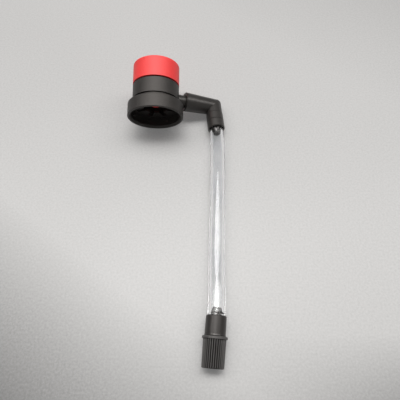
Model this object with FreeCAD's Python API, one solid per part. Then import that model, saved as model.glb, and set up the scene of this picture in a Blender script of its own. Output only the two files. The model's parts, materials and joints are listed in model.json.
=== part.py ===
import FreeCAD, Part
import math
import os
from FreeCAD import Placement, Rotation, Vector

# Push-button head of a tyre-inflator spray can, with its hose and screw-on valve connector.
# Lengths are in millimetres and angles in degrees.
# The head has its own axes: z = 0 is the rim of the skirt, +z runs to the button and +x
# along the spout.

# Snap-fit skirt, body and guide neck, one moulding
skirt_od = 36.5
skirt_wall = 1.9
skirt_height = 8.9
skirt_top_round = 0.7
rim_edge = 0.3            # chamfer round the outside of the rim
snap_reach = 0.35         # how far the snap bead stands in from the skirt's wall
snap_start = 1.2          # rim to the bead's flat
snap_flat = 1.0
web_depth = 7.3           # rim to the underside of the web
web_hole_radius = 8.2
window_count = 8          # windows in the web, each with a snap lug outside it
window_width = 3.2
window_end = 13.6         # a window runs from the web's hole to this radius
lug_width = 2.4
lug_start = 3.9           # rim to a lug's lower edge
lug_height = 1.1
lug_reach = 0.6
body_od = 30.6
body_wall = 2.7
foot_height = 2.7         # height of the narrower foot between skirt and body
foot_inset = 0.9
shoulder_height = 21.5    # rim to the ledge that stops the button
neck_height = 9.0
slot_gap = 0.25           # between the spout and the sides of its slot

# Push button
button_od = 30.7
button_height = 13.9
button_wall = 1.35
button_top = 1.6
button_edge_round = 0.8
button_travel = 1.0
button_stop_gap = 0.1     # left above the ledge when the button is down
neck_fit = 0.1            # radial, button skirt to guide neck
dish_depth = 0.8          # finger dish in the top
dish_radius = 12.0
post_radius = 3.8
manifold_radius = 4.8
manifold_rise = 0.6       # manifold beyond the outlet, above and below
socket_radius = 3.0
socket_in_skirt = 8.8     # rim to the mouth of the stem socket
stem_bore_radius = 1.95
stem_bore_depth = 5.1
stem_lead_in = 0.5
port_radius = 1.2
rib_count = 4
rib_thickness = 1.2
rib_reach = 10.8
rib_height = 7.0

# Spout, a tube pressed into the button's outlet
spout_height = 15.2       # rim to the spout's axis
spout_radius = 4.05
spout_bore_radius = 2.0
outlet_length = 9.0       # head's axis to the outlet's face
spigot_length = 4.2
spigot_radius = 2.7
press_bite = 0.02
spout_end = 36.2          # head's axis to the spout's free end
spout_chamfer = 0.4
snap_groove_start = 28.6
snap_groove_width = 1.6
snap_groove_depth = 0.45
ring_groove_start = 32.6
ring_groove_width = 1.4
ring_groove_depth = 1.05
ring_section_radius = 0.53

# Elbow that turns on the spout
elbow_start = 20.0        # head's axis to the sleeve's open end
elbow_reach = 41.8        # head's axis to the axis of the hose leg
sleeve_end_radius = 6.4
sleeve_edge = 0.5
bend_radius = 5.55
corner_ease = 0.4         # how far the rounded outer corner stands beyond the bend's radius
turning_fit = 0.05        # radial, elbow on spout and nut on tail
end_gap = 0.3             # axial, wherever a turning piece faces another
snap_ridge_height = 0.3
hose_leg = 19.4           # elbow's corner to the mouth of its ferrule

# Hose, barbs and the two ferrules that hold it
hose_od = 9.5
hose_bore = 6.35
hose_seat = 8.2           # length of hose inside each ferrule
hose_fit = 0.05
elbow_ferrule_length = 12.3
elbow_ferrule_radius = 5.75
ferrule_edge = 0.4
ferrule_groove = 0.3
groove_from_mouth = 6.3
barb_depth = 0.45
barb_pitch = 3.4
barb_bore_radius = 1.4
barb_tip_drop = 0.9
elbow_barb_beyond = 4.0   # barb's tip beyond the ferrule's mouth
tail_barb_beyond = 4.3

# Valve connector, along its own x axis from the mouth of its ferrule
tail_ferrule_length = 10.4
tail_mouth_radius = 5.66
tail_foot_radius = 5.83
nut_ring_radius = 6.92
nut_ring_thickness = 1.4
nut_ring_edge = 0.3
nut_grip_length = 14.6
nut_root_radius = 6.25
nut_mouth_radius = 5.97
nut_mouth_edge = 0.4
nut_bore_radius = 3.87    # major radius of the tyre-valve thread
nut_relief = 0.33         # radial, the wider bore round the washer and the pin
nut_lead_in = 0.5
knurl_count = 32
knurl_depth = 0.6
knurl_flat = 0.3          # crest's share of a tooth's pitch
tail_neck_radius = 3.2
tail_head_reach = 0.35    # how far the head stands out from the neck
tail_head_thickness = 1.6
washer_thickness = 1.5
washer_bore_radius = 2.0
pin_radius = 0.8
pin_beyond_washer = 1.5
vane_thickness = 0.7
vane_length = 2.6
pin_collar_thickness = 0.8
pin_hole_radius = 0.42

# Lying on the bench, z = 0: the skirt's rim, the elbow's ferrule and the connector touch it
lean = 13.5               # the button end is raised by this angle
hose_straight = 7.5       # straight hose outside each ferrule
hose_steps = [            # route points from the mouth of the elbow's ferrule: right, back, up
    (0.25, -35.0, -0.65),
    (-0.55, -65.0, -0.92),
    (-1.65, -93.0, -0.70),
]
connector_step = (-2.3, -123.8)
connector_heading = 5.1   # degrees to the left of straight towards the user

# Sizes that follow from those above
skirt_radius = skirt_od / 2
skirt_inside = skirt_radius - skirt_wall
snap_radius = skirt_inside - snap_reach
body_radius = body_od / 2
body_inside = body_radius - body_wall
button_radius = button_od / 2
button_inside = button_radius - button_wall
neck_radius = button_inside - neck_fit
button_foot = shoulder_height + button_travel + button_stop_gap
button_crown = button_foot + button_height
sleeve_bore = spout_radius + turning_fit
hose_radius = hose_od / 2
ferrule_inside = hose_radius + hose_fit
barb_peak = hose_bore / 2 + press_bite
barb_root = barb_peak - barb_depth
barb_tip = barb_peak - barb_tip_drop
ring_start = tail_ferrule_length + end_gap
ring_end = ring_start + nut_ring_thickness
nut_end = ring_end + nut_grip_length
head_start = ring_end + end_gap
head_end = head_start + tail_head_thickness
head_radius = tail_neck_radius + tail_head_reach
washer_end = head_end + washer_thickness
pin_tip = washer_end + pin_beyond_washer
thread_start = pin_tip + 2 * end_gap

X = Vector(1, 0, 0)
Y = Vector(0, 1, 0)
Z = Vector(0, 0, 1)


def revolved(points, axis):
    """Revolves a closed outline of (radius, distance along the axis) points."""
    across = X if axis == Z else Z
    corners = [across * r + axis * h for r, h in points]
    face = Part.Face(Part.makePolygon(corners + corners[:1]))
    solid = face.revolve(Vector(), axis, 360)
    if solid.Volume < 0:
        solid.reverse()
    return solid


def rod(radius, start, end, axis, offset=Vector()):
    """A cylinder from start to end along an axis that runs through offset."""
    return Part.makeCylinder(radius, end - start, offset + axis * start, axis)


def slab(points, width):
    """An outline of (x, z) points made into a plate centred on y = 0."""
    corners = [Vector(x, -width / 2, z) for x, z in points]
    return Part.Face(Part.makePolygon(corners + corners[:1])).extrude(Y * width)


def around(shape, count, axis, first=0.0):
    """Copies of a shape spaced evenly about an axis."""
    copies = []
    for i in range(count):
        copy = shape.copy()
        copy.rotate(Vector(), axis, first + i * 360.0 / count)
        copies.append(copy)
    return copies


def is_ring(edge, radius, height, axis):
    """True for a circle of that radius whose centre is at that height along the axis."""
    curve = edge.Curve
    if not isinstance(curve, Part.Circle):
        return False
    return abs(curve.Radius - radius) < 1e-4 and abs(curve.Center.dot(axis) - height) < 1e-4


def round_ring(solid, size, radius, height, axis):
    """Fillets the circular edge at that radius and height."""
    return solid.makeFillet(size, [e for e in solid.Edges if is_ring(e, radius, height, axis)])


def barb_outline(root_at, tip_at):
    """Outline points of a hose barb's flanks, from its root to its tip."""
    way = 1 if tip_at > root_at else -1
    length = abs(tip_at - root_at)
    teeth = max(1, int((length - barb_pitch / 2) // barb_pitch))
    plain = length - barb_pitch * teeth
    points = [(barb_root, root_at)]
    for i in range(teeth):
        foot = plain + barb_pitch * i
        points.append((barb_root, root_at + way * foot))
        points.append((barb_peak, root_at + way * foot))
    points.append((barb_tip, tip_at))
    return points


def make_housing():
    """Snap-fit skirt with its web and lugs, body, guide neck and the slot for the spout."""
    neck_top = shoulder_height + neck_height
    snap_end = snap_start + snap_flat
    foot_top = skirt_height + foot_height
    foot_radius = body_radius - foot_inset
    shell = revolved([
        (skirt_radius - rim_edge, 0),
        (skirt_radius, rim_edge),
        (skirt_radius, skirt_height),
        (foot_radius, skirt_height),
        (foot_radius, foot_top),
        (body_radius, foot_top),
        (body_radius, shoulder_height),
        (neck_radius, shoulder_height),
        (neck_radius, neck_top),
        (body_inside, neck_top),
        (body_inside, skirt_height),
        (web_hole_radius, skirt_height),
        (web_hole_radius, web_depth),
        (skirt_inside, web_depth),
        (skirt_inside, snap_end + snap_reach),
        (snap_radius, snap_end),
        (snap_radius, snap_start),
        (snap_radius + 0.75 * snap_start, 0),
    ], Z)
    shell = round_ring(shell, skirt_top_round, skirt_radius, skirt_height, Z)
    window = Part.makeBox(window_end, window_width, skirt_height, Vector(0, -window_width / 2, 0))
    into_wall = skirt_inside + skirt_wall / 2
    lug = slab([
        (into_wall, lug_start),
        (skirt_inside - lug_reach, lug_start + lug_height / 2),
        (skirt_inside - lug_reach, lug_start + lug_height),
        (into_wall, lug_start + lug_height),
    ], lug_width)
    shell = shell.cut(around(window, window_count, Z)).fuse(around(lug, window_count, Z))
    width = spout_radius + slot_gap
    reach = 2 * skirt_radius
    up = Vector(web_hole_radius / 2, 0, spout_height)
    down = up - Z * button_travel
    slot = Part.makeBox(reach, 2 * width, button_travel, down - Y * width)
    slot = slot.fuse([Part.makeCylinder(width, reach, up, X),
                      Part.makeCylinder(width, reach, down, X)])
    return shell.cut(slot).removeSplitter()


def make_button():
    """Dished cap with its central post, stem socket, stiffening ribs and side outlet."""
    ceiling = button_crown - dish_depth - button_top
    low = spout_height - spout_radius - manifold_rise
    high = spout_height + spout_radius + manifold_rise
    cap = revolved([
        (0, button_crown),
        (button_radius, button_crown),
        (button_radius, button_foot),
        (button_inside, button_foot),
        (button_inside, ceiling),
        (post_radius, ceiling),
        (post_radius, high),
        (manifold_radius, high),
        (manifold_radius, low),
        (socket_radius, low),
        (socket_radius, socket_in_skirt),
        (0, socket_in_skirt),
    ], Z)
    cap = round_ring(cap, button_edge_round, button_radius, button_crown, Z)
    ball = (dish_radius ** 2 + dish_depth ** 2) / (2 * dish_depth)
    cap = cap.cut(Part.makeSphere(ball, Z * (button_crown - dish_depth + ball)))
    corner = Vector(0, -rib_thickness / 2, ceiling - rib_height)
    rib = Part.makeBox(rib_reach, rib_thickness, rib_height + button_top / 2, corner)
    outlet = rod(spout_radius, 0, outlet_length, X, Z * spout_height)
    cap = cap.fuse(around(rib, rib_count, Z, 45.0) + [outlet])
    bore_top = socket_in_skirt + stem_bore_depth
    socket = revolved([
        (0, socket_in_skirt),
        (stem_bore_radius + stem_lead_in, socket_in_skirt),
        (stem_bore_radius, socket_in_skirt + stem_lead_in),
        (stem_bore_radius, bore_top),
        (port_radius, bore_top),
        (port_radius, spout_height),
        (0, spout_height),
    ], Z)
    port = rod(port_radius, 0, outlet_length, X, Z * spout_height)
    pocket = rod(spigot_radius, outlet_length - spigot_length, outlet_length, X, Z * spout_height)
    return cap.cut([socket, port, pocket]).removeSplitter()


def make_spout():
    """The tube between the button's outlet and the elbow, with its snap and O-ring grooves."""
    spigot = spigot_radius + press_bite
    snap_end = snap_groove_start + snap_groove_width
    ring_stop = ring_groove_start + ring_groove_width
    return revolved([
        (spout_bore_radius, outlet_length - spigot_length),
        (spigot, outlet_length - spigot_length),
        (spigot, outlet_length),
        (spout_radius, outlet_length),
        (spout_radius, snap_groove_start),
        (spout_radius - snap_groove_depth, snap_groove_start),
        (spout_radius - snap_groove_depth, snap_end),
        (spout_radius, snap_end),
        (spout_radius, ring_groove_start),
        (spout_radius - ring_groove_depth, ring_groove_start),
        (spout_radius - ring_groove_depth, ring_stop),
        (spout_radius, ring_stop),
        (spout_radius, spout_end - spout_chamfer),
        (spout_radius - spout_chamfer, spout_end),
        (spout_bore_radius, spout_end),
    ], X)


def make_spout_ring():
    """The O-ring that seals the elbow on the spout."""
    middle = ring_groove_start + ring_groove_width / 2
    centre_radius = spout_radius - ring_groove_depth + ring_section_radius
    return Part.makeTorus(centre_radius, ring_section_radius, X * middle, X)


def make_elbow():
    """A mitred elbow: turning sleeve on one leg, plug and hose barb on the other."""
    leg_end = hose_leg - elbow_ferrule_length
    corner = elbow_reach + bend_radius
    taper = (sleeve_end_radius - bend_radius) / (elbow_reach - elbow_start)
    sleeve = revolved([
        (0, elbow_start),
        (sleeve_end_radius - sleeve_edge, elbow_start),
        (sleeve_end_radius - taper * sleeve_edge, elbow_start + sleeve_edge),
        (bend_radius, elbow_reach),
        (bend_radius, corner + 1),
        (0, corner + 1),
    ], X)
    leg = rod(bend_radius, -leg_end, bend_radius + 1, Z, X * elbow_reach)
    far = 2 * elbow_reach
    lower = (elbow_reach - far, -far)
    upper = (elbow_reach + far, far)
    before_mitre = slab([lower, upper, (lower[0], far)], far)
    past_mitre = slab([lower, upper, (upper[0], -far)], far)
    body = sleeve.common(before_mitre).fuse(leg.common(past_mitre))
    outer = Part.makeBox(far, 2 * far, far, Vector(elbow_reach, -far, 0))
    body = body.cut(outer.cut(Part.makeSphere(bend_radius + corner_ease, X * elbow_reach)))
    plug_end = hose_seat - hose_leg
    tip = -hose_leg - elbow_barb_beyond
    nose = revolved(
        [(0, 0), (ferrule_inside, 0), (ferrule_inside, plug_end)]
        + barb_outline(plug_end, tip) + [(0, tip)], Z)
    nose = round_ring(nose, barb_tip / 3, barb_tip, tip, Z)
    nose.translate(X * elbow_reach)
    inside_end = spout_end + end_gap
    ridge_start = snap_groove_start + end_gap
    ridge_end = snap_groove_start + snap_groove_width - end_gap
    bore = revolved([
        (0, elbow_start),
        (sleeve_bore + sleeve_edge, elbow_start),
        (sleeve_bore, elbow_start + sleeve_edge),
        (sleeve_bore, ridge_start),
        (sleeve_bore - snap_ridge_height, ridge_start),
        (sleeve_bore - snap_ridge_height, ridge_end),
        (sleeve_bore, ridge_end),
        (sleeve_bore, inside_end),
        (barb_bore_radius, inside_end),
        (barb_bore_radius, elbow_reach),
        (0, elbow_reach),
    ], X)
    passage = rod(barb_bore_radius, tip, 0, Z, X * elbow_reach)
    joint = Part.makeSphere(barb_bore_radius, X * elbow_reach)
    return body.fuse(nose).cut([bore, passage, joint]).removeSplitter()


def make_elbow_ferrule():
    """The sleeve that holds the hose on the elbow's barb."""
    start = elbow_ferrule_length - hose_leg
    mouth = -hose_leg
    groove = mouth + groove_from_mouth
    outside = elbow_ferrule_radius
    ferrule = revolved([
        (ferrule_inside, start),
        (outside - ferrule_edge, start),
        (outside, start - ferrule_edge),
        (outside, groove + ferrule_groove),
        (outside - ferrule_groove, groove),
        (outside, groove - ferrule_groove),
        (outside, mouth + ferrule_edge),
        (outside - ferrule_edge, mouth),
        (ferrule_inside, mouth),
    ], Z)
    ferrule.translate(X * elbow_reach)
    return ferrule


def make_tail():
    """The connector's barbed tail, with the neck and head that the nut turns on."""
    flanks = barb_outline(hose_seat, -tail_barb_beyond)
    tail = revolved(
        [(0, -tail_barb_beyond)] + flanks[::-1]
        + [
            (ferrule_inside, hose_seat),
            (ferrule_inside, tail_ferrule_length),
            (tail_neck_radius, tail_ferrule_length),
            (tail_neck_radius, head_start),
            (head_radius, head_start),
            (head_radius, head_end),
            (0, head_end),
        ], X)
    tail = round_ring(tail, barb_tip / 3, barb_tip, -tail_barb_beyond, X)
    return tail.cut(rod(barb_bore_radius, -tail_barb_beyond, head_end, X))


def make_tail_ferrule():
    """The sleeve that holds the hose on the connector's barb, flared at its foot."""
    flare = tail_foot_radius - tail_mouth_radius
    return revolved([
        (ferrule_inside, 0),
        (tail_mouth_radius - ferrule_edge, 0),
        (tail_mouth_radius, ferrule_edge),
        (tail_mouth_radius + flare / 2, tail_ferrule_length - 4 * flare),
        (tail_foot_radius, tail_ferrule_length),
        (ferrule_inside, tail_ferrule_length),
    ], X)


def knurl_section(crest, at):
    """A toothed outline across the x axis: flat crests and V grooves."""
    pitch = 2 * math.pi / knurl_count
    half_flat = knurl_flat * pitch / 2
    points = []
    for i in range(knurl_count):
        middle = i * pitch
        for radius, angle in ((crest, middle - half_flat), (crest, middle + half_flat),
                              (crest - knurl_depth, middle + pitch / 2)):
            points.append(Vector(at, radius * math.cos(angle), radius * math.sin(angle)))
    return Part.makePolygon(points + points[:1])


def make_nut():
    """The knurled nut that screws on the tyre valve."""
    hole = tail_neck_radius + turning_fit
    relief = nut_bore_radius + nut_relief
    slope = (nut_root_radius - nut_mouth_radius) / nut_grip_length
    envelope = revolved([
        (0, ring_start),
        (nut_ring_radius - nut_ring_edge, ring_start),
        (nut_ring_radius, ring_start + nut_ring_edge),
        (nut_ring_radius, ring_end),
        (nut_root_radius, ring_end),
        (nut_mouth_radius + slope * nut_mouth_edge, nut_end - nut_mouth_edge),
        (nut_mouth_radius - nut_mouth_edge, nut_end),
        (0, nut_end),
    ], X)
    grip = Part.makeLoft([knurl_section(nut_root_radius, ring_end),
                          knurl_section(nut_mouth_radius, nut_end)], True, True)
    ring = rod(nut_ring_radius, ring_start, ring_end, X)
    inside = revolved([
        (0, ring_start),
        (hole, ring_start),
        (hole, ring_end),
        (relief, ring_end),
        (relief, thread_start),
        (nut_bore_radius, thread_start),
        (nut_bore_radius, nut_end - nut_lead_in),
        (nut_bore_radius + nut_lead_in, nut_end),
        (0, nut_end),
    ], X)
    return ring.fuse(grip).common(envelope).cut(inside).removeSplitter()


def make_washer():
    """The rubber washer that seals on the valve's end."""
    washer = rod(head_radius, head_end, washer_end, X)
    return washer.cut(rod(washer_bore_radius, head_end, washer_end, X))


def make_pin():
    """The pin that opens the valve's core, on a perforated collar and four vanes."""
    start = head_end - vane_length
    pin = rod(pin_radius, start, pin_tip, X)
    pin = round_ring(pin, pin_radius / 2, pin_radius, pin_tip, X)
    wide = 2 * barb_bore_radius
    vane = Part.makeBox(vane_length, wide, vane_thickness,
                        Vector(start, -wide / 2, -vane_thickness / 2))
    vanes = vane.fuse(around(vane, 1, X, 90.0)).common(rod(barb_bore_radius, start, head_end, X))
    collar_radius = washer_bore_radius - hose_fit
    collar = rod(collar_radius, head_end, head_end + pin_collar_thickness, X)
    middle = (pin_radius + collar_radius) / 2
    hole = rod(pin_hole_radius, start, washer_end, X, Z * middle)
    return pin.fuse([vanes, collar]).cut(around(hole, 4, X, 45.0)).removeSplitter()


def lay_head():
    """Lays the head on its rim and the elbow's ferrule; gives its placement and the elbow's."""
    tilt = math.radians(lean)
    rim = skirt_radius * math.cos(tilt) - rim_edge * math.sin(tilt)
    rise = rim + spout_height * math.sin(tilt) - elbow_ferrule_radius
    roll = math.asin(rise / (elbow_reach * math.cos(tilt)))
    swing = math.atan(math.tan(tilt) / math.cos(roll))
    head = Placement(Z * rim, Rotation(X, lean - 90) * Rotation(Z, math.degrees(roll)))
    spout = head * Placement(Z * spout_height, Rotation())
    return head, spout, spout * Placement(Vector(), Rotation(X, -math.degrees(swing)))


def lay_connector(mouth):
    """Lays the connector on the nut's ring and mouth, at its step from the elbow's mouth."""
    gap = nut_end - nut_mouth_edge - ring_end
    slope = (nut_root_radius - nut_mouth_radius) / nut_grip_length
    drop = math.atan((nut_ring_radius - nut_mouth_radius - slope * nut_mouth_edge) / gap)
    height = nut_ring_radius * math.cos(drop) + ring_end * math.sin(drop)
    at = Vector(mouth.x + connector_step[0], mouth.y + connector_step[1], height)
    turn = Rotation(Z, -90 - connector_heading) * Rotation(Y, math.degrees(drop))
    return Placement(at, turn)


def sweep_hose(points):
    """The hose along straight runs and tangent arcs; prints each bend's radius."""
    edges = []
    at = points[0]
    for before, corner, after in zip(points, points[1:], points[2:]):
        come = (corner - before).normalize()
        go = (after - corner).normalize()
        half = come.getAngle(go) / 2
        trim = 0.45 * min((corner - before).Length, (after - corner).Length)
        radius = trim / math.tan(half)
        inward = (go - come).normalize()
        middle = corner + inward * (radius / math.cos(half) - radius)
        enter = corner - come * trim
        leave = corner + go * trim
        edges.append(Part.makeLine(at, enter))
        edges.append(Part.Arc(enter, middle, leave).toShape())
        print("hose bend radius %.0f mm, turn %.2f degrees" % (radius, math.degrees(2 * half)))
        at = leave
    edges.append(Part.makeLine(at, points[-1]))
    path = Part.Wire(edges)
    heading = (points[1] - points[0]).normalize()
    skins = []
    for radius in (hose_radius, hose_bore / 2):
        circle = Part.Wire(Part.makeCircle(radius, points[0], heading))
        skins.append(path.makePipeShell([circle], True, True))
    hose = skins[0].cut(skins[1])
    section = math.pi * (hose_radius ** 2 - (hose_bore / 2) ** 2)
    print("hose length %.2f mm, volume %.1f, section x length %.1f"
          % (path.Length, hose.Volume, section * path.Length))
    return hose


def report_frame(name, placement, point, along):
    """Prints a point and a direction of one piece in the shared frame."""
    at = placement.multVec(point)
    way = placement.Rotation.multVec(along)
    print("%s %.4f %.4f %.4f axis %.6f %.6f %.6f" % (name, at.x, at.y, at.z, way.x, way.y, way.z))


head, spout, elbow = lay_head()
mouth = elbow.multVec(Vector(elbow_reach, 0, -hose_leg))
leg = elbow.Rotation.multVec(Z * -1)
connector = lay_connector(mouth)
into = connector.Rotation.multVec(X)
route = [mouth - leg * hose_seat, mouth + leg * hose_straight]
route += [mouth + Vector(*step) for step in hose_steps]
route += [connector.Base - into * hose_straight, connector.Base + into * hose_seat]

made = {
    "housing": (make_housing(), head),
    "button_cap": (make_button(), head),
    "spout_nipple": (make_spout(), spout),
    "spout_o_ring": (make_spout_ring(), spout),
    "elbow": (make_elbow(), elbow),
    "elbow_ferrule": (make_elbow_ferrule(), elbow),
    "hose": (sweep_hose(route), Placement()),
    "connector_tail": (make_tail(), connector),
    "connector_ferrule": (make_tail_ferrule(), connector),
    "knurled_nut": (make_nut(), connector),
    "valve_washer": (make_washer(), connector),
    "core_pin": (make_pin(), connector),
}
hangs_on_hose = ["hose", "connector_tail", "connector_ferrule", "knurled_nut", "valve_washer",
                 "core_pin"]

solids = {}
for node, (shape, placement) in made.items():
    placed = shape.copy()
    placed.transformShape(placement.toMatrix())
    solids[node] = placed.Solids[0] if len(placed.Solids) == 1 else placed
firm = Part.makeCompound([s for n, s in solids.items() if n not in hangs_on_hose])
box = firm.optimalBoundingBox(False, False)
centre = Placement(Vector(-(box.XMin + box.XMax) / 2, -(box.YMin + box.YMax) / 2, -box.ZMin),
                   Rotation())

os.makedirs("parts", exist_ok=True)
for node, solid in solids.items():
    moved = solid.copy()
    moved.transformShape(centre.toMatrix())
    moved.exportStep("parts/%s.step" % node)
    lies = moved.optimalBoundingBox(False, False)
    print("%s solids %d valid %s volume %.1f z %.3f to %.3f"
          % (node, len(moved.Solids), moved.isValid(), moved.Volume, lies.ZMin, lies.ZMax))

head = centre * head
spout = centre * spout
elbow = centre * elbow
connector = centre * connector
for point in route:
    at = centre.multVec(point)
    print("route %.3f %.3f %.3f" % (at.x, at.y, at.z))
report_frame("rim", head, Vector(), Z * -1)
report_frame("snap", head, Z * (snap_start + snap_flat / 2), Z * -1)
report_frame("stem", head, Z * (socket_in_skirt + (stem_lead_in + stem_bore_depth) / 2), Z * -1)
report_frame("spout", spout, X * elbow_reach, X)
report_frame("ferrule mouth", elbow, Vector(elbow_reach, 0, -hose_leg), Z * -1)
report_frame("connector", connector, Vector(), X)
report_frame("thread", connector, X * ((thread_start + nut_end - nut_lead_in) / 2), X)
print("thread length %.3f" % (nut_end - nut_lead_in - thread_start))
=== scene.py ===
import bpy, bmesh, json, math
from mathutils import Matrix, Vector


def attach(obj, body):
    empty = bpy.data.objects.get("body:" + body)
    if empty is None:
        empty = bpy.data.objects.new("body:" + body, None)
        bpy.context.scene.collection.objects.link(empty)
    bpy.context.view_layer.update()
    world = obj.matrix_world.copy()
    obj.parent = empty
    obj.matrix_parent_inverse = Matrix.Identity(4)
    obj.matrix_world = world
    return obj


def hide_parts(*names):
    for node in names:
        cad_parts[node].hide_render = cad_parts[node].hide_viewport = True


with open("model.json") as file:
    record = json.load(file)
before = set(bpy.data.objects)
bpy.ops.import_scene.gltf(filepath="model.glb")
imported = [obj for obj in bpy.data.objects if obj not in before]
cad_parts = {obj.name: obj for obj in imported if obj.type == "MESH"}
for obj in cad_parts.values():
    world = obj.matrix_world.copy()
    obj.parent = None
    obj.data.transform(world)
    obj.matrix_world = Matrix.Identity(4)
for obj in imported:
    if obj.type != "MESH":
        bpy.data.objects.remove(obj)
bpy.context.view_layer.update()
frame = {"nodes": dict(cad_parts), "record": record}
nodes = frame["nodes"]
mounts = {m["name"]: m for m in frame["record"]["mounts"]}
joints = {j["name"]: j for j in frame["record"]["behaviour"]["joints"]}
scene = bpy.context.scene
mm = 0.001


def linkObject(name, data):
    obj = bpy.data.objects.new(name, data)
    scene.collection.objects.link(obj)
    return obj


def pickOnly(obj):
    bpy.ops.object.select_all(action="DESELECT")
    obj.select_set(True)
    bpy.context.view_layer.objects.active = obj


def smooth(obj, degrees=35):
    pickOnly(obj)
    bpy.ops.object.shade_smooth_by_angle(angle=math.radians(degrees))


# camera: above the bench, looking down and away
camera = {"at": (0.01533, -0.17962, 0.23044), "pitch": 25.8, "lens": 36.0, "sensor": 36.0, "near": 0.01}
camData = bpy.data.cameras.new("camera")
camData.lens = camera["lens"]
camData.sensor_width = camera["sensor"]
camData.clip_start = camera["near"]
cam = linkObject("camera", camData)
cam.location = camera["at"]
cam.rotation_euler = (math.radians(camera["pitch"]), 0, 0)
scene.camera = cam
print("stage camera")

# hose route in mm, from its seat on the elbow's barb to its seat in the connector
hoseRoute = [
    (25.752, -9.627, 5.750),
    (27.254, -25.255, 5.750),
    (26.786, -52.789, 5.100),
    (25.986, -82.789, 4.830),
    (24.886, -110.789, 5.050),
    (24.902, -134.135, 8.203),
    (23.509, -149.739, 7.163),
]
hoseSize = {"outside": 4.75 * mm, "inside": 3.175 * mm, "around": 72, "length": 140.4 * mm,
            "steps": 24}   # radii, sides, length along the route, steps between points


def sampleRoute(route, size):
    curve = bpy.data.curves.new("hoseRoute", "CURVE")
    curve.dimensions = "3D"
    curve.resolution_u = size["steps"]
    spline = curve.splines.new("NURBS")
    spline.points.add(len(route) - 1)
    for point, (x, y, z) in zip(spline.points, route):
        point.co = (x * mm, y * mm, z * mm, 1)
    spline.order_u = 3
    spline.use_endpoint_u = True
    holder = linkObject("hoseRoute", curve)
    graph = bpy.context.evaluated_depsgraph_get()
    line = bpy.data.meshes.new_from_object(holder.evaluated_get(graph))
    path = [v.co.copy() for v in line.vertices]
    bpy.data.objects.remove(holder)
    bpy.data.meshes.remove(line)
    return path


def tubeMesh(path, size):
    points, faces = [], []
    around = size["around"]
    side = Vector((0, 0, 1))
    last = len(path) - 1
    for i, at in enumerate(path):
        go = (path[min(i + 1, last)] - path[max(i - 1, 0)]).normalized()
        side = (side - go * side.dot(go)).normalized()
        other = go.cross(side)
        for radius in (size["outside"], size["inside"]):
            for k in range(around):
                turn = 2 * math.pi * k / around
                points.append(at + (side * math.cos(turn) + other * math.sin(turn)) * radius)
    ring = 2 * around
    for i in range(last):
        for shift in (0, around):   # outer wall, then bore
            for k in range(around):
                a = i * ring + shift + k
                b = i * ring + shift + (k + 1) % around
                faces.append((a, b, b + ring, a + ring))
    for i in (0, last):   # the two cut ends
        for k in range(around):
            a = i * ring + k
            b = i * ring + (k + 1) % around
            faces.append((a, b, b + around, a + around))
    mesh = bpy.data.meshes.new("hoseTube")
    mesh.from_pydata(points, [], faces)
    work = bmesh.new()
    work.from_mesh(mesh)
    bmesh.ops.recalc_face_normals(work, faces=work.faces)
    work.to_mesh(mesh)
    work.free()
    return mesh


# a socket with arithmetic, and one way to make nodes
class Sock:
    def __init__(self, tree, out=None):
        self.tree, self.out = tree, out

    def make(self, kind, inputs=(), outName=0, **settings):
        node = self.tree.nodes.new(kind)
        for key, value in settings.items():
            setattr(node, key, value)
        for key, value in dict(inputs).items():
            if isinstance(value, Sock):
                self.tree.links.new(value.out, node.inputs[key])
            else:
                node.inputs[key].default_value = value
        return Sock(self.tree, node.outputs[outName])

    def maths(self, operation, a, b):
        return self.make("ShaderNodeMath", {0: a, 1: b}, operation=operation)

    def vector(self, operation, a, b=(0, 0, 0), outName="Vector"):
        return self.make("ShaderNodeVectorMath", {0: a, 1: b}, outName, operation=operation)

    def __add__(self, other):
        return self.maths("ADD", self, other)

    def __radd__(self, other):
        return self.maths("ADD", other, self)

    def __sub__(self, other):
        return self.maths("SUBTRACT", self, other)

    def __rsub__(self, other):
        return self.maths("SUBTRACT", other, self)

    def __mul__(self, other):
        return self.maths("MULTIPLY", self, other)

    def __rmul__(self, other):
        return self.maths("MULTIPLY", other, self)

    def ramp(self, low, high):
        return self.make("ShaderNodeMapRange", {"Value": self, "From Min": low, "From Max": high})

    def noise(self, scale, detail=3.0, rough=0.5):
        settings = {"Vector": self, "Scale": scale, "Detail": detail, "Roughness": rough}
        return self.make("ShaderNodeTexNoise", settings)

    def mixed(self, low, high):   # from colour low at 0 to colour high at 1
        colours = {"Factor": self, 6: low, 7: high}
        return self.make("ShaderNodeMix", colours, 2, data_type="RGBA")

    def bump(self, strength, distance):
        settings = {"Height": self, "Strength": strength, "Distance": distance}
        return self.make("ShaderNodeBump", settings, "Normal")

    def feed(self, shader, name):
        self.tree.links.new(self.out, shader.inputs[name])


def newMaterial(name):
    material = bpy.data.materials.new(name)
    material.use_nodes = True
    tree = material.node_tree
    place = Sock(tree).make("ShaderNodeTexCoord", outName="Object")
    return material, tree.nodes["Principled BSDF"], place


def solid(colour):
    return (*colour, 1)


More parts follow.
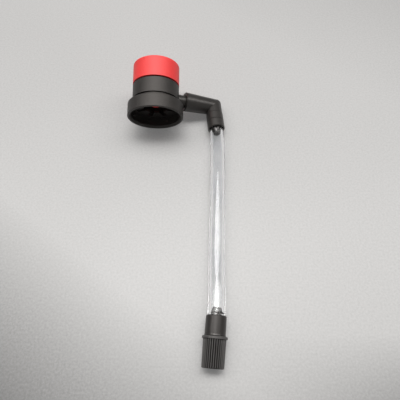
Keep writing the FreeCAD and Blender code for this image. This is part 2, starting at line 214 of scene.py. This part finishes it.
def mouldedPlastic(name, look):
    material, shader, place = newMaterial(name)
    broad = place.noise(look["cloud"], 2.0)
    fine = place.noise(look["grain"], 4.0, 0.6)
    specks = place.noise(look["speck"], 2.0, 0.7).ramp(*look["speckRange"])
    drawn = place.make("ShaderNodeMapping", {"Vector": place, "Scale": look["scuffScale"]})
    scuffs = drawn.noise(look["scuffSize"], 3.0, 0.65).ramp(*look["scuffRange"])
    tone = (broad * 0.7 + fine * 0.3).ramp(0.3, 0.7)
    colour = tone.mixed(solid(look["dark"]), solid(look["light"]))
    (specks * look["dust"]).mixed(colour, solid(look["dustColour"])).feed(shader, "Base Color")
    swing = (broad - 0.5) * look["roughSwing"]
    (swing + scuffs * look["scuff"] + look["rough"]).feed(shader, "Roughness")
    (fine + scuffs * 0.3).bump(look["bump"], look["bumpDepth"]).feed(shader, "Normal")
    shader.inputs["IOR"].default_value = look["ior"]
    shader.inputs["Specular Tint"].default_value = solid(look["sheen"])
    return material


blackLook = {"dark": (0.0135, 0.0122, 0.0114), "light": (0.0235, 0.0216, 0.0203), "cloud": 55.0,
             "grain": 1500.0, "speck": 1700.0, "speckRange": (0.71, 0.78), "dust": 0.25,
             "dustColour": (0.28, 0.27, 0.25), "rough": 0.50, "roughSwing": 0.12, "scuff": 0.08,
             "scuffScale": (900.0, 900.0, 60.0), "scuffSize": 1.6, "scuffRange": (0.64, 0.72),
             "bump": 0.45, "bumpDepth": 0.04 * mm, "ior": 1.50, "sheen": (0.93, 0.885, 0.855)}
acetalLook = dict(blackLook, dark=(0.015, 0.0137, 0.0128), light=(0.024, 0.0222, 0.021), rough=0.33,
                  bump=0.3, sheen=(1.0, 0.965, 0.945))
redLook = dict(blackLook, dark=(0.69, 0.033, 0.032), light=(0.775, 0.045, 0.044), dust=0.12,
               dustColour=(0.75, 0.55, 0.5), rough=0.50, roughSwing=0.1, bump=0.25,
               sheen=(1.0, 1.0, 1.0))
rubberLook = dict(blackLook, dark=(0.012, 0.012, 0.012), light=(0.022, 0.022, 0.022), dust=0.4,
                  rough=0.62, bump=0.6)
whiteLook = dict(blackLook, dark=(0.70, 0.69, 0.64), light=(0.80, 0.79, 0.75), dust=0.1, rough=0.34,
                 bump=0.2)

# grip of the nut: painted shade in the grooves and painted highlight on the crests, set by distance from
# the nut's axis and broken up by noise
gripShadeLook = {"crest": (0.062, 0.060, 0.059), "groove": (0.006, 0.0057, 0.0056),
            "from": 5.72 * mm, "to": 6.04 * mm, "taper": 0.0192, "patch": 420.0, "swing": 0.8, "least": 0.6}


def paintedGripShade(material, look, mount):
    shader = material.node_tree.nodes["Principled BSDF"]
    place = Sock(material.node_tree).make("ShaderNodeTexCoord", outName="Object")
    way = tuple(Vector(mounts[mount]["axis"]).normalized())
    offset = place.vector("SUBTRACT", place, mounts[mount]["pos_m"])
    along = place.vector("DOT_PRODUCT", offset, way, outName="Value")
    across = place.vector("CROSS_PRODUCT", offset, way)
    radius = place.vector("LENGTH", across, outName="Value")
    # painted light: 0 in the grooves (painted shade) up to 1 on the crests (painted highlight)
    crestLit = (radius + along * look["taper"]).ramp(look["from"], look["to"])
    patchyCrestLit = crestLit * (place.noise(look["patch"]) * look["swing"] + look["least"])
    patchyCrestLit.mixed(solid(look["groove"]), solid(look["crest"])).feed(shader, "Base Color")
    return material


pvcLook = {"clear": (0.98, 0.985, 0.99), "hazy": (0.92, 0.928, 0.945), "cloud": 90.0,
           "hazeRange": (0.35, 0.7), "rough": 0.03, "roughSwing": 0.012, "wave": 260.0, "bump": 0.06,
           "bumpDepth": 0.06 * mm, "ior": 1.40, "specular": 0.12}


def clearPvc(name, look):
    material, shader, place = newMaterial(name)
    broad = place.noise(look["cloud"])
    haze = broad.ramp(*look["hazeRange"])
    haze.mixed(solid(look["clear"]), solid(look["hazy"])).feed(shader, "Base Color")
    (broad * look["roughSwing"] + look["rough"]).feed(shader, "Roughness")
    place.noise(look["wave"]).bump(look["bump"], look["bumpDepth"]).feed(shader, "Normal")
    shader.inputs["Transmission Weight"].default_value = 1.0
    shader.inputs["Specular IOR Level"].default_value = look["specular"]
    shader.inputs["IOR"].default_value = look["ior"]
    return material


blackMoulding = mouldedPlastic("blackMoulding", blackLook)
blackAcetal = mouldedPlastic("blackAcetal", acetalLook)
redMoulding = mouldedPlastic("redMoulding", redLook)
sealRubber = mouldedPlastic("sealRubber", rubberLook)
whiteAcetal = mouldedPlastic("whiteAcetal", whiteLook)
# the nut's acetal, with painted shade in its grooves and painted highlight on its crests
gripShadedAcetal = paintedGripShade(mouldedPlastic("gripShadedAcetal", acetalLook), gripShadeLook, "tyre_valve_thread")
nodeMaterials = {
    "housing": blackMoulding, "button_cap": redMoulding, "spout_nipple": blackAcetal,
    "spout_o_ring": sealRubber, "elbow": blackAcetal, "elbow_ferrule": blackAcetal,
    "connector_tail": blackAcetal, "connector_ferrule": blackAcetal, "knurled_nut": gripShadedAcetal,
    "valve_washer": sealRubber, "core_pin": whiteAcetal,
}
for name, material in nodeMaterials.items():
    nodes[name].data.materials.clear()
    nodes[name].data.materials.append(material)
    smooth(nodes[name])
print("stage materials")

hosePath = sampleRoute(hoseRoute, hoseSize)
hoseTube = linkObject("hoseTube", tubeMesh(hosePath, hoseSize))
hoseTube.data.materials.append(clearPvc("clearPvc", pvcLook))
smooth(hoseTube)
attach(hoseTube, "elbow_and_hose")
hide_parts("hose")
print("stage hose", len(hosePath))


def placed(mount, along=0.0, spin=0.0, out=0.0):   # z points out of the mount, x towards the spout
    way = Vector(mounts[mount]["axis"]).normalized()
    spout = Vector(joints["elbow_swivel"]["axis"]) * -1
    side = (spout - way * spout.dot(way)).normalized()
    turned = Matrix.Rotation(math.radians(spin), 3, way) @ side
    at = Vector(mounts[mount]["pos_m"]) + way * along + turned * out
    return Matrix.Translation(at) @ Matrix((turned, way.cross(turned), way)).transposed().to_4x4()


def finishPiece(obj, place, material, body):
    pickOnly(obj)
    obj.data.transform(place)
    bpy.ops.object.mode_set(mode="EDIT")
    bpy.ops.mesh.select_all(action="SELECT")
    bpy.ops.mesh.normals_make_consistent(inside=False)
    bpy.ops.object.mode_set(mode="OBJECT")
    obj.data.materials.append(material)
    smooth(obj)
    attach(obj, body)


def pickWhere(obj, wanted):   # selects the vertices for which wanted(place) is true
    bpy.ops.mesh.select_all(action="DESELECT")
    bpy.ops.object.mode_set(mode="OBJECT")
    for vertex in obj.data.vertices:
        vertex.select = wanted(vertex.co)
    bpy.ops.object.mode_set(mode="EDIT")


# thread of the tyre valve inside the nut, 32 turns to the inch
thread = {"pitch": 25.4 / 32 * mm, "crest": 3.46 * mm, "root": 3.885 * mm, "around": 40,
          "foot": 0.68, "top": 0.2, "fade": 20}   # foot is a share of the pitch, top of the foot


def valveThread(size, mount):
    middle = (size["crest"] + size["root"]) / 2
    turns = int(mounts[mount]["dims"]["length_mm"] * mm / size["pitch"]) - 1
    bpy.ops.object.select_all(action="DESELECT")
    bpy.ops.mesh.primitive_plane_add(size=1, rotation=(math.radians(90), 0, 0))
    bpy.ops.object.transform_apply(rotation=True)
    ridge = bpy.context.object
    ridge.name = ridge.data.name = "valveThread"
    bpy.ops.object.mode_set(mode="EDIT")
    bpy.ops.mesh.select_mode(type="VERT")
    bpy.ops.mesh.select_all(action="SELECT")
    bpy.ops.transform.resize(value=(size["root"] - size["crest"], 1, size["foot"] * size["pitch"]))
    bpy.ops.transform.translate(value=(middle, 0, 0))
    pickWhere(ridge, lambda co: co.x < middle)
    bpy.ops.transform.resize(value=(1, 1, size["top"]))
    bpy.ops.object.mode_set(mode="OBJECT")
    screw = ridge.modifiers.new("thread", "SCREW")
    screw.axis, screw.angle, screw.screw_offset = "Z", 2 * math.pi, size["pitch"]
    screw.steps = screw.render_steps = size["around"]
    screw.iterations = turns
    bpy.ops.object.modifier_apply(modifier="thread")
    steps = turns * size["around"]
    for vertex in ridge.data.vertices:   # four to a step; the crest dies away at both ends
        step = vertex.index // 4
        radius = math.hypot(vertex.co.x, vertex.co.y)
        full = min(1.0, (min(step, steps - step) + 1) / size["fade"])
        wanted = size["root"] + (radius - size["root"]) * full
        vertex.co.x *= wanted / radius
        vertex.co.y *= wanted / radius
    bpy.ops.object.mode_set(mode="EDIT")
    bpy.ops.mesh.select_mode(type="EDGE")
    bpy.ops.mesh.select_all(action="DESELECT")
    bpy.ops.mesh.select_non_manifold()
    bpy.ops.mesh.fill_holes(sides=4)
    bpy.ops.object.mode_set(mode="OBJECT")
    finishPiece(ridge, placed(mount, along=-turns * size["pitch"] / 2), blackAcetal, "nut")
    return turns


print("stage thread", valveThread(thread, "tyre_valve_thread"), "turns")

# marks that the mould leaves: ejector rings on the web between its windows, a gate pip in the dish
ejector = {"count": 4, "turn": 22.5, "ring": 12.6 * mm, "radius": 1.3 * mm, "height": 0.14 * mm,
           "lip": 0.2 * mm, "sunk": 0.6, "around": 28, "web": -5.64 * mm}
gate = {"radius": 1.5 * mm, "height": 0.10 * mm, "lip": 0.7 * mm, "pip": 0.22 * mm, "waist": 0.6,
        "around": 28, "dish": -33.95 * mm}


def disc(name, size):   # a low disc, left in edit mode with its inner face selected
    bpy.ops.object.select_all(action="DESELECT")
    bpy.ops.mesh.primitive_circle_add(vertices=size["around"], radius=size["radius"], fill_type="NGON")
    obj = bpy.context.object
    obj.name = obj.data.name = name
    bpy.ops.object.mode_set(mode="EDIT")
    bpy.ops.mesh.select_all(action="SELECT")
    bpy.ops.mesh.extrude_region_move(TRANSFORM_OT_translate={"value": (0, 0, size["height"])})
    bpy.ops.mesh.inset(thickness=size["lip"])
    return obj


mark = disc("ejectorMark", ejector)
bpy.ops.transform.translate(value=(0, 0, -ejector["sunk"] * ejector["height"]))
bpy.ops.object.mode_set(mode="OBJECT")
marks = [mark] + [linkObject("ejectorMark%d" % i, mark.data.copy()) for i in range(1, ejector["count"])]
for i, obj in enumerate(marks):
    spin = ejector["turn"] + 360 / ejector["count"] * i
    finishPiece(obj, placed("valve_cup_snap", ejector["web"], spin, ejector["ring"]),
                blackMoulding, "head")
pip = disc("gatePip", gate)
bpy.ops.mesh.extrude_region_move(TRANSFORM_OT_translate={"value": (0, 0, gate["pip"])})
bpy.ops.transform.resize(value=(gate["waist"], gate["waist"], 1))
bpy.ops.object.mode_set(mode="OBJECT")
finishPiece(pip, placed("valve_cup_snap", gate["dish"]) @ Matrix.Rotation(math.pi, 4, "X"),
            redMoulding, "button")
print("stage marks", len(marks) + 1)

# bench, with painted shade towards its corners that fades out again further away; a patch of painted shade
# is the product
#  of its ramps, each a way across the bench with the distances where it begins and where it is full
bench = {"size": 3.0, "light": (0.359, 0.357, 0.356), "darkest": 0.05, "rough": 0.42, "glow": 0.11,
         "grain": 0.20, "cloud": 5.0, "speckle": 800.0, "even": (0.30, 0.55)}
paintedShadePatches = [
    {"shadeDepth": 0.62, "ramps": [((-0.6, -0.8, 0), 0.118, 0.205)]},
    {"shadeDepth": 0.54, "ramps": [((0, -1, 0), 0.15, 0.20), ((1, 0, 0), 0.03, 0.12)]},
    {"shadeDepth": 0.12, "ramps": [((0.6, 0.8, 0), 0.10, 0.20)]},
]


def benchTop(name, look, patches):
    material, shader, place = newMaterial(name)
    near = 1.0 - place.vector("LENGTH", place, outName="Value").ramp(*look["even"])
    cloud = place.noise(look["cloud"], 2.0)
    speckle = place.noise(look["speckle"], 2.0, 0.7)
    grain = (cloud * 0.25 + speckle * 0.75).ramp(0.3, 0.7)
    even = 1.0 - (grain - 0.25) * look["grain"]
    for patch in patches:
        mask = near * patch["shadeDepth"]
        for way, start, full in patch["ramps"]:
            mask = mask * place.vector("DOT_PRODUCT", place, way, outName="Value").ramp(start, full)
        # each patch takes painted shade off the bench's colour
        even = even - mask
    tone = even.maths("MAXIMUM", even, look["darkest"])
    tone.mixed(solid((0, 0, 0)), solid(look["light"])).feed(shader, "Base Color")
    shader.inputs["Roughness"].default_value = look["rough"]
    seen = ("Is Camera Ray", "Is Transmission Ray", "Is Glossy Ray")   # by eye, through hose, in gloss
    rays = [place.make("ShaderNodeLightPath", outName=kind) for kind in seen]
    glow = (rays[0] + rays[1] + rays[2]) * tone * look["glow"]
    glow.mixed(solid((0, 0, 0)), solid((1, 1, 1))).feed(shader, "Emission Color")
    shader.inputs["Emission Strength"].default_value = 1.0
    return material


bpy.ops.object.select_all(action="DESELECT")
bpy.ops.mesh.primitive_plane_add(size=bench["size"])
benchObj = bpy.context.object
benchObj.name = benchObj.data.name = "bench"
benchObj.data.materials.append(benchTop("bench", bench, paintedShadePatches))
print("stage bench")


# panels of light, each facing the middle of the bench
panels = [
    {"name": "keyLight", "at": (0.0, 0.10, 1.0), "size": (0.6, 0.2), "power": 3.5,
     "colour": (1.0, 0.99, 0.97)},
    {"name": "ceilingLight", "at": (0.0, 0.32, 1.3), "size": (3.4, 0.57), "power": 26.9,
     "colour": (1.0, 0.985, 0.965)},
]


def panelLight(panel):
    data = bpy.data.lights.new(panel["name"], "AREA")
    data.shape = "RECTANGLE"
    data.size, data.size_y = panel["size"]
    data.energy = panel["power"]
    data.color = panel["colour"]
    obj = linkObject(panel["name"], data)
    obj.location = panel["at"]
    obj.rotation_euler = (-Vector(panel["at"])).to_track_quat("-Z", "Y").to_euler()
    return obj


lights = [panelLight(panel) for panel in panels]
room = {"light": 0.32, "through": 0.58, "colour": (1.0, 0.985, 0.965)}   # paler through the hose
world = bpy.data.worlds.new("world")
world.use_nodes = True
sky = world.node_tree.nodes["Background"]
sky.inputs["Color"].default_value = solid(room["colour"])
clear = Sock(world.node_tree).make("ShaderNodeLightPath", outName="Is Transmission Ray")
(clear * room["through"] + room["light"]).feed(sky, "Strength")
scene.world = world
scene.view_settings.view_transform = "Standard"
print("stage lights")
